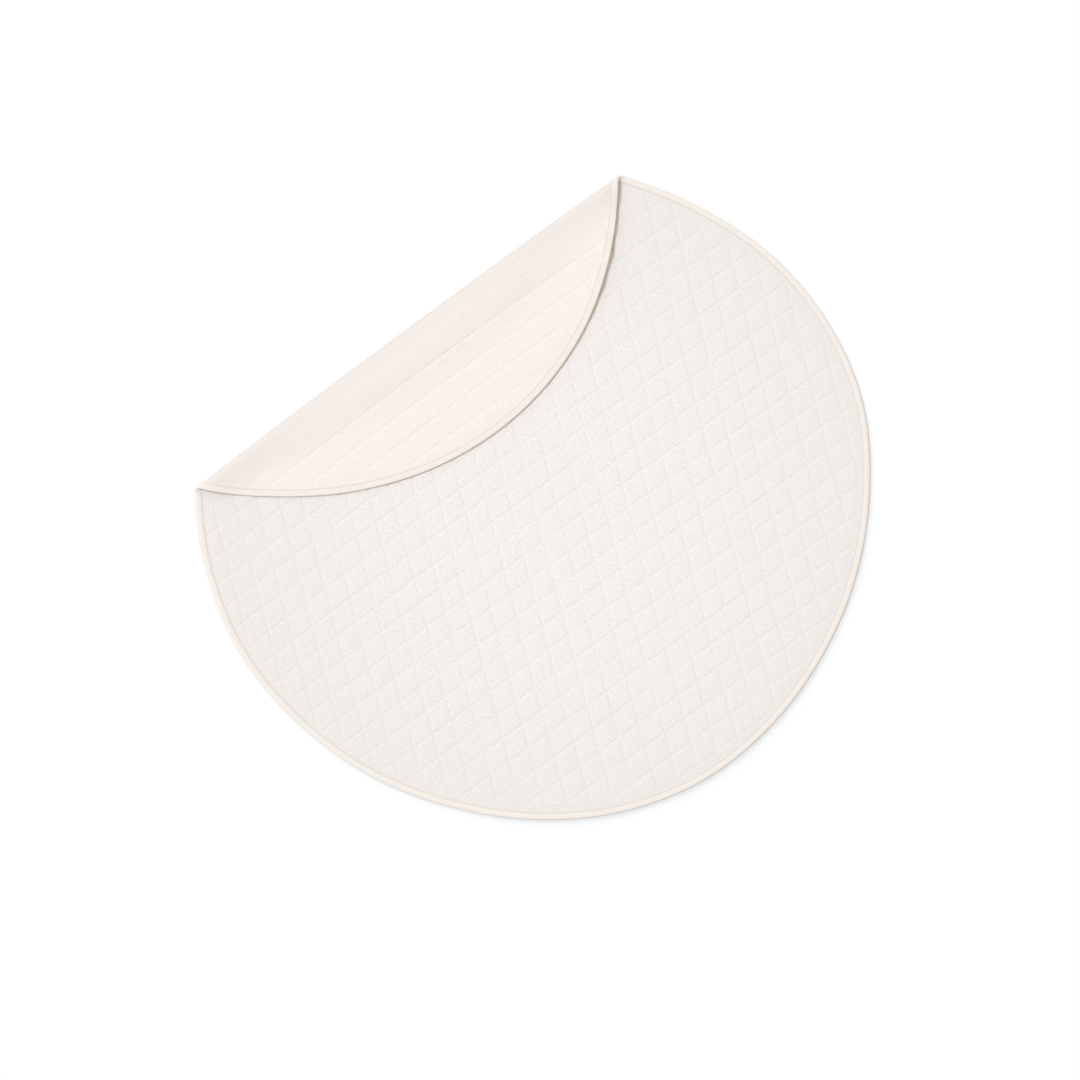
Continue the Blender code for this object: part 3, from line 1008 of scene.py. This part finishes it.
class ClothGroups:
    """The shader groups that the mat's cloths share."""

    def __init__(self) -> None:
        """Builds each group once."""
        self.weave = self.make_weave()
        self.heather = self.make_heather()
        self.handling = self.make_handling()
        # painted shade: a darker line across the cloth, and a darker falloff towards the mat's rim
        self.pressed = self.make_painted_shade()

    @staticmethod
    def blank(
        name: str, inputs: tuple, outputs: tuple
    ) -> tuple[bpy.types.NodeTree, NodeTree, bpy.types.Node]:
        """An empty group with named sockets.

        Args:
            name: the group's name.
            inputs: rows of socket name, socket type and starting value.
            outputs: rows of socket name and socket type.

        Returns:
            The group, its builder and its input node.
        """
        group = bpy.data.node_groups.new(name, "ShaderNodeTree")
        for label, kind, value in inputs:
            socket = group.interface.new_socket(label, in_out="INPUT", socket_type=kind)
            if value is not None:
                socket.default_value = value
        for label, kind in outputs:
            group.interface.new_socket(label, in_out="OUTPUT", socket_type=kind)
        tree = NodeTree(group)
        return group, tree, tree.add("NodeGroupInput")

    def make_weave(self) -> bpy.types.NodeTree:
        """Plain weave: threads over and under each other, a little uneven.

        Returns:
            The group, with Height and Hollow outputs.
        """
        group, tree, given = self.blank(
            "plain_weave",
            (
                ("Vector", "NodeSocketVector", None),
                ("Threads per metre", "NodeSocketFloat", 900.0),
                ("Unevenness", "NodeSocketFloat", 0.3),
            ),
            (("Height", "NodeSocketFloat"), ("Hollow", "NodeSocketFloat")),
        )
        noise = tree.add(
            "ShaderNodeTexNoise",
            {"Vector": given.outputs["Vector"], "Scale": 240.0, "Detail": 2.0, "Roughness": 0.6},
        )
        centred = tree.maths("SUBTRACT", noise.outputs["Fac"], 0.5)
        bent = tree.maths("MULTIPLY", centred, given.outputs["Unevenness"])
        split = tree.add("ShaderNodeSeparateXYZ", {0: given.outputs["Vector"]})
        turn = tree.maths("MULTIPLY", given.outputs["Threads per metre"], math.pi)
        bend = tree.maths("MULTIPLY", bent, math.tau * 2)
        warp = tree.maths("SINE", tree.maths("ADD", tree.maths("MULTIPLY", split.outputs["X"], turn), bend))
        weft = tree.maths("SINE", tree.maths("ADD", tree.maths("MULTIPLY", split.outputs["Y"], turn), bend))
        checker = tree.maths("MULTIPLY", warp, weft)
        height = tree.maths("MULTIPLY_ADD", checker, 0.5)
        height.node.inputs[2].default_value = 0.5
        ridges = tree.maths("MULTIPLY", tree.maths("ABSOLUTE", warp), tree.maths("ABSOLUTE", weft))
        hollow = tree.maths("SUBTRACT", 1.0, tree.maths("POWER", ridges, 0.4))
        tree.add("NodeGroupOutput", {"Height": height, "Hollow": hollow})
        return group

    def make_heather(self) -> bpy.types.NodeTree:
        """Marled yarn: short paler and darker streaks along both thread directions.

        Returns:
            The group, with Color and Streak outputs.
        """
        group, tree, given = self.blank(
            "heathered_yarn",
            (
                ("Vector", "NodeSocketVector", None),
                ("Ground", "NodeSocketColor", None),
                ("Pale yarn", "NodeSocketColor", None),
                ("Dark yarn", "NodeSocketColor", None),
                ("Amount", "NodeSocketFloat", 0.5),
            ),
            (("Color", "NodeSocketColor"), ("Streak", "NodeSocketFloat")),
        )
        streaks = []
        for stretch in ((170.0, 520.0, 1.0), (480.0, 190.0, 1.0)):
            laid = tree.add(
                "ShaderNodeVectorMath", {0: given.outputs["Vector"], 1: stretch}, operation="MULTIPLY"
            )
            noise = tree.add(
                "ShaderNodeTexNoise",
                {"Vector": laid.outputs[0], "Scale": 1.0, "Detail": 3.0, "Roughness": 0.65},
            )
            streaks.append(noise.outputs["Fac"])
        sum_of = tree.maths("ADD", streaks[0], streaks[1])
        even = tree.maths("MULTIPLY", tree.maths("SUBTRACT", sum_of, 1.0), 5.5)
        scaled = tree.maths("MULTIPLY", even, given.outputs["Amount"])
        pale = tree.add("ShaderNodeClamp", {"Value": scaled}).outputs[0]
        dark = tree.add("ShaderNodeClamp", {"Value": tree.maths("MULTIPLY", scaled, -1.0)}).outputs[0]
        toned = tree.blend(pale, given.outputs["Ground"], given.outputs["Pale yarn"])
        colour = tree.blend(dark, toned, given.outputs["Dark yarn"])
        tree.add("NodeGroupOutput", {"Color": colour, "Streak": tree.maths("ADD", scaled, 0.5)})
        return group

    def make_handling(self) -> bpy.types.NodeTree:
        """Soft creases and faint unevenness from washing and folding away.

        Returns:
            The group, with Color, Crease and Worn outputs.
        """
        group, tree, given = self.blank(
            "washed_cloth",
            (
                ("Vector", "NodeSocketVector", None),
                ("Color", "NodeSocketColor", None),
                ("Tint", "NodeSocketColor", None),
                ("Amount", "NodeSocketFloat", 0.3),
            ),
            (("Color", "NodeSocketColor"), ("Crease", "NodeSocketFloat"), ("Worn", "NodeSocketFloat")),
        )
        broad = tree.add(
            "ShaderNodeTexNoise",
            {"Vector": given.outputs["Vector"], "Scale": 30.0, "Detail": 3.0, "Roughness": 0.6},
        )
        fine = tree.add(
            "ShaderNodeTexNoise",
            {
                "Vector": given.outputs["Vector"], "Scale": 95.0, "Detail": 4.0,
                "Roughness": 0.6, "Distortion": 1.2,
            },
        )
        worn = tree.add(
            "ShaderNodeMapRange",
            {"Value": broad.outputs["Fac"], "From Min": 0.35, "From Max": 0.75, "To Min": 0.0, "To Max": 1.0},
        ).outputs[0]
        share = tree.maths("MULTIPLY", worn, given.outputs["Amount"])
        colour = tree.blend(share, given.outputs["Color"], given.outputs["Tint"])
        ridge = tree.maths("ABSOLUTE", tree.maths("SUBTRACT", fine.outputs["Fac"], 0.5))
        crease = tree.maths("SUBTRACT", 1.0, tree.maths("MULTIPLY", ridge, 4.0))
        tree.add("NodeGroupOutput", {"Color": colour, "Crease": crease, "Worn": worn})
        return group

    def make_painted_shade(self) -> bpy.types.NodeTree:
        """A soft line of painted shade across the cloth, and painted falloff that darkens the cloth far from
        the centre.

        Returns:
            The group, with Painted shade line and Painted falloff outputs.
        """
        group, tree, given = self.blank(
            "painted_line_shade_and_falloff",
            (
                ("Vector", "NodeSocketVector", None),
                ("Way", "NodeSocketVector", None),
                ("Place", "NodeSocketFloat", 0.0),
                ("Width", "NodeSocketFloat", 0.02),
                ("Painted falloff amount", "NodeSocketFloat", 0.0),
            ),
            (("Line", "NodeSocketFloat"), ("Painted falloff", "NodeSocketFloat")),
        )
        # painted shade line: 1 at the given place, falling to 0 at the given width
        reached = tree.add(
            "ShaderNodeVectorMath",
            {0: given.outputs["Vector"], 1: given.outputs["Way"]},
            operation="DOT_PRODUCT",
        ).outputs["Value"]
        gap = tree.maths("ABSOLUTE", tree.maths("SUBTRACT", reached, given.outputs["Place"]))
        line = tree.add(
            "ShaderNodeMapRange",
            {"Value": tree.maths("DIVIDE", gap, given.outputs["Width"]), "To Min": 1.0, "To Max": 0.0},
            interpolation_type="SMOOTHSTEP",
        ).outputs[0]
        # painted falloff: rises from 0.12 m to 0.56 m from the centre, darkening the cloth there as
        # falling-off light would
        far = tree.add("ShaderNodeVectorMath", {0: given.outputs["Vector"]}, operation="LENGTH")
        rim = tree.add(
            "ShaderNodeMapRange",
            {"Value": far.outputs["Value"], "From Min": 0.12, "From Max": 0.56},
        ).outputs[0]
        painted_falloff = tree.maths("MULTIPLY", tree.maths("POWER", rim, 1.6), given.outputs["Painted falloff amount"])
        tree.add("NodeGroupOutput", {"Line": line, "Painted falloff": painted_falloff})
        return group


@dataclass(frozen=True)
class PaintedShadeLine:
    """A straight line on the flat cloth that is painted a little darker, as painted shade."""

    way: tuple[float, float, float]
    place: float
    width: float
    amount: float


@dataclass(frozen=True)
class ClothFinish:
    """A woven cotton: its yarns, its thread count, how marled and how creased it is."""

    name: str
    ground: Colour
    pale_yarn: Colour
    # the marl's dark yarn, and also the colour of the painted shade line and painted falloff
    dark_yarn_and_shade: Colour
    tint: Colour
    marl: float
    threads_per_metre: float
    bias_deg: float
    roughness: float
    sheen: float
    weave_depth: float
    crease_depth: float
    # how much painted falloff darkens the cloth towards the rim
    painted_falloff_amount: float
    # a line of painted shade
    line: PaintedShadeLine

    def make(self, groups: ClothGroups) -> bpy.types.Material:
        """Builds the material.

        Args:
            groups: the shared shader groups.

        Returns:
            The material.
        """
        material = bpy.data.materials.new(self.name)
        material.use_nodes = True
        tree = NodeTree(material.node_tree)
        surface = material.node_tree.nodes["Principled BSDF"]
        cloth = tree.add("ShaderNodeUVMap", uv_map=CLOTH_UV)
        turned = tree.add(
            "ShaderNodeMapping",
            {"Vector": cloth.outputs[0], "Rotation": (0.0, 0.0, math.radians(self.bias_deg))},
        )
        vector = turned.outputs[0]
        yarn = tree.add("ShaderNodeGroup", node_tree=groups.heather)
        for label, value in (
            ("Ground", self.ground), ("Pale yarn", self.pale_yarn),
            ("Dark yarn", self.dark_yarn_and_shade), ("Amount", self.marl),
        ):
            yarn.inputs[label].default_value = value
        tree.tree.links.new(vector, yarn.inputs["Vector"])
        washed = tree.add("ShaderNodeGroup", node_tree=groups.handling)
        washed.inputs["Tint"].default_value = self.tint
        washed.inputs["Amount"].default_value = 0.35
        tree.tree.links.new(vector, washed.inputs["Vector"])
        tree.tree.links.new(yarn.outputs["Color"], washed.inputs["Color"])
        weave = tree.add("ShaderNodeGroup", node_tree=groups.weave)
        weave.inputs["Threads per metre"].default_value = self.threads_per_metre
        tree.tree.links.new(vector, weave.inputs["Vector"])

        shaded = tree.blend(
            tree.maths("MULTIPLY", weave.outputs["Hollow"], 0.05), washed.outputs["Color"], self.dark_yarn_and_shade
        )
        # painted shade: the darker line and the darker falloff towards the rim
        marks = tree.add("ShaderNodeGroup", node_tree=groups.pressed)
        marks.inputs["Way"].default_value = self.line.way
        marks.inputs["Place"].default_value = self.line.place
        marks.inputs["Width"].default_value = self.line.width
        marks.inputs["Painted falloff amount"].default_value = self.painted_falloff_amount
        tree.tree.links.new(cloth.outputs[0], marks.inputs["Vector"])
        # painted shade line, then painted falloff, over the cloth's colour
        line_shaded = tree.blend(
            tree.maths("MULTIPLY", marks.outputs["Line"], self.line.amount), shaded, self.dark_yarn_and_shade
        )
        falloff_shaded = tree.blend(marks.outputs["Painted falloff"], line_shaded, self.dark_yarn_and_shade)
        tree.tree.links.new(falloff_shaded, surface.inputs["Base Color"])
        rough = tree.add(
            "ShaderNodeMapRange",
            {
                "Value": yarn.outputs["Streak"],
                "To Min": self.roughness - 0.05, "To Max": self.roughness + 0.05,
            },
        ).outputs[0]
        tree.tree.links.new(rough, surface.inputs["Roughness"])
        surface.inputs["Sheen Weight"].default_value = self.sheen
        surface.inputs["Sheen Roughness"].default_value = 0.5
        surface.inputs["Specular IOR Level"].default_value = 0.25
        creased = tree.add(
            "ShaderNodeBump", {"Height": washed.outputs["Crease"], "Distance": self.crease_depth}
        )
        creased.inputs["Strength"].default_value = 1.0
        woven = tree.add(
            "ShaderNodeBump",
            {
                "Height": weave.outputs["Height"], "Distance": self.weave_depth,
                "Normal": creased.outputs["Normal"],
            },
        )
        tree.tree.links.new(woven.outputs["Normal"], surface.inputs["Normal"])
        return material


@dataclass(frozen=True)
class ThreadFinish:
    """Spun sewing thread, with its twist."""

    name: str
    colour: Colour
    shade: Colour

    def make(self) -> bpy.types.Material:
        """Builds the material.

        Returns:
            The material.
        """
        material = bpy.data.materials.new(self.name)
        material.use_nodes = True
        tree = NodeTree(material.node_tree)
        surface = material.node_tree.nodes["Principled BSDF"]
        place = tree.add("ShaderNodeTexCoord").outputs["Object"]
        twist = tree.add("ShaderNodeTexNoise", {"Vector": place, "Scale": 2200.0, "Detail": 1.0})
        colour = tree.blend(twist.outputs["Fac"], self.colour, self.shade)
        tree.tree.links.new(colour, surface.inputs["Base Color"])
        surface.inputs["Roughness"].default_value = 0.6
        bump = tree.add("ShaderNodeBump", {"Height": twist.outputs["Fac"], "Distance": 0.05 * MM})
        tree.tree.links.new(bump.outputs["Normal"], surface.inputs["Normal"])
        return material


FACE_FINISH = ClothFinish(
    name="face_heathered_cotton",
    ground=(0.80, 0.766, 0.741, 1.0),
    pale_yarn=(0.90, 0.864, 0.838, 1.0),
    dark_yarn_and_shade=(0.68, 0.649, 0.625, 1.0),
    tint=(0.79, 0.750, 0.708, 1.0),
    marl=0.5,
    threads_per_metre=1150.0,
    bias_deg=4.0,
    roughness=0.90,
    sheen=0.15,
    weave_depth=0.10 * MM,
    crease_depth=0.10 * MM,
    # painted falloff: the face is painted darker towards the rim
    painted_falloff_amount=0.35,
    # painted shade along the fold, inside the roll
    line=PaintedShadeLine((*direction(36.4 + 90), 0.0), 333 * MM, 30 * MM, 0.2),
)
REVERSE_FINISH = ClothFinish(
    name="reverse_plain_cotton",
    ground=(0.84, 0.775, 0.735, 1.0),
    pale_yarn=(0.885, 0.822, 0.78, 1.0),
    dark_yarn_and_shade=(0.745, 0.685, 0.64, 1.0),
    tint=(0.83, 0.765, 0.70, 1.0),
    marl=0.4,
    threads_per_metre=1700.0,
    bias_deg=4.0,
    roughness=0.86,
    sheen=0.15,
    weave_depth=0.05 * MM,
    crease_depth=0.10 * MM,
    painted_falloff_amount=0.0,
    # painted shade over the roll, where the flap curves away from the light
    line=PaintedShadeLine((*direction(36.4 + 90), 0.0), 343 * MM, 30 * MM, 0.8),
)
BINDING_FINISH = ClothFinish(
    name="binding_bias_cotton",
    ground=(0.81, 0.76, 0.715, 1.0),
    pale_yarn=(0.85, 0.81, 0.765, 1.0),
    dark_yarn_and_shade=(0.68, 0.60, 0.52, 1.0),
    tint=(0.80, 0.745, 0.69, 1.0),
    marl=0.25,
    threads_per_metre=1700.0,
    bias_deg=45.0,
    roughness=0.84,
    sheen=0.12,
    weave_depth=0.05 * MM,
    crease_depth=0.05 * MM,
    painted_falloff_amount=0.0,
    # painted shade along the groove at the binding's seam
    line=PaintedShadeLine((0.0, 1.0, 0.0), 10.4 * MM, 2.2 * MM, 0.6),
)
THREAD_FINISH = ThreadFinish("sewing_thread", (0.84, 0.78, 0.72, 1.0), (0.72, 0.64, 0.56, 1.0))


@dataclass
class Studio:
    """A white floor, a soft key from the upper left, a pale surround and the overhead camera."""

    view_centre: tuple[float, float] = (0.00986, -0.08545)
    view_width: float = 1.7747
    lens: float = 180.0
    sensor: float = 36.0
    key_bearing_deg: float = 152.0
    key_elevation_deg: float = 65.0
    key_energy: float = 1.6
    key_spread_deg: float = 12.0
    key_colour: tuple[float, float, float] = (0.86, 1.0, 1.14)
    low_bearing_deg: float = 128.0
    low_elevation_deg: float = 20.0
    low_energy: float = 2.32
    low_spread_deg: float = 30.0
    low_colour: tuple[float, float, float] = (1.1, 1.0, 0.9)
    surround: Colour = (0.765, 0.700, 0.636, 1.0)
    floor_colour: Colour = (0.705, 0.714, 0.729, 1.0)

    def floor(self) -> bpy.types.Object:
        """Lays the floor.

        Returns:
            The floor.
        """
        Workbench.clear_selection()
        bpy.ops.mesh.primitive_plane_add(size=40, location=(0, 0, 0))
        ground = bpy.context.object
        ground.name = "studio_floor"
        material = bpy.data.materials.new("studio_floor")
        material.use_nodes = True
        surface = material.node_tree.nodes["Principled BSDF"]
        surface.inputs["Base Color"].default_value = self.floor_colour
        surface.inputs["Roughness"].default_value = 1.0
        surface.inputs["Specular IOR Level"].default_value = 0.0
        ground.data.materials.append(material)
        return ground

    def softbox(
        self, name: str, bearing_deg: float, elevation_deg: float, energy: float, spread_deg: float,
        colour: tuple[float, float, float],
    ) -> bpy.types.Object:
        """Hangs one soft light at the upper left.

        Args:
            name: the light's name.
            bearing_deg: where it hangs, counterclockwise from the mat's right.
            elevation_deg: its height above the horizon.
            energy: its strength.
            spread_deg: how wide it looks from the floor.
            colour: its colour.

        Returns:
            The light.
        """
        bpy.ops.object.light_add(type="SUN")
        light = bpy.context.object
        light.name = name
        light.data.energy = energy
        light.data.angle = math.radians(spread_deg)
        light.data.color = colour
        bearing = math.radians(bearing_deg)
        rise = math.radians(elevation_deg)
        towards = Vector((
            math.cos(bearing) * math.cos(rise), math.sin(bearing) * math.cos(rise), math.sin(rise)
        ))
        light.rotation_mode = "QUATERNION"
        light.rotation_quaternion = towards.to_track_quat("Z", "Y")
        return light

    def lights(self, ground: bpy.types.Object) -> None:
        """Hangs the key, and the low light that lies on the floor alone, and sets the surround.

        Args:
            ground: the floor.
        """
        self.softbox(
            "key", self.key_bearing_deg, self.key_elevation_deg, self.key_energy, self.key_spread_deg,
            self.key_colour,
        )
        low = self.softbox(
            "low_floor_light", self.low_bearing_deg, self.low_elevation_deg, self.low_energy,
            self.low_spread_deg, self.low_colour,
        )
        lit = bpy.data.collections.new("lit_by_low_light")
        lit.objects.link(ground)
        low.light_linking.receiver_collection = lit
        world = bpy.data.worlds.new("studio")
        world.use_nodes = True
        world.node_tree.nodes["Background"].inputs["Color"].default_value = self.surround
        bpy.context.scene.world = world

    def camera(self) -> None:
        """Hangs the camera straight above, with a long lens."""
        distance = self.view_width / 2 / (self.sensor / 2 / self.lens)
        bpy.ops.object.camera_add(location=(*self.view_centre, distance), rotation=(0, 0, 0))
        camera = bpy.context.object
        camera.name = "overhead_camera"
        camera.data.lens = self.lens
        camera.data.sensor_width = self.sensor
        camera.data.clip_start = 0.1
        camera.data.clip_end = 100
        bpy.context.scene.camera = camera

    def set_up(self) -> None:
        """Makes the whole studio."""
        self.lights(self.floor())
        self.camera()
        bpy.context.scene.view_settings.view_transform = "Standard"
        bpy.context.scene.view_settings.look = "None"


def report(piece: bpy.types.Object) -> None:
    """Logs a finished piece and its size."""
    piece.data.calc_loop_triangles()
    log.info("%s: %d triangles", piece.name, len(piece.data.loop_triangles))


def main() -> None:
    """Makes the mat and the studio round it."""
    logging.basicConfig(level=logging.INFO, format="%(message)s")
    outline = MatOutline()
    quilting = Quilting()
    fold = Fold(outline)
    groups = ClothGroups()
    thread = THREAD_FINISH.make()

    for side, name, node, slot, finish in (
        (Side.FACE, "face_panel", "top_panel", "face_cloth", FACE_FINISH),
        (Side.REVERSE, "reverse_panel", "back_panel", "back_cloth", REVERSE_FINISH),
    ):
        panel = QuiltedPanel(name, node, slot, side, outline, quilting, fold)
        stitches = QuiltingStitches(name + "_quilting_stitches", slot, fold, panel=panel)
        sewn = stitches.build()
        stitches.dress(sewn, thread)
        report(sewn)
        piece = panel.build()
        panel.dress(piece, finish.make(groups), [sewn])
        report(piece)

    binding = EdgeBinding("bias_binding", "edge_binding", "binding_cloth", outline, fold)
    seam = BindingStitches("binding_stitches", "binding_cloth", fold, binding=binding)
    sewn = seam.build()
    seam.dress(sewn, thread)
    report(sewn)
    piece = binding.build()
    binding.dress(piece, BINDING_FINISH.make(groups), [sewn])
    report(piece)

    Studio().set_up()


if __name__ == "__main__":
    main()
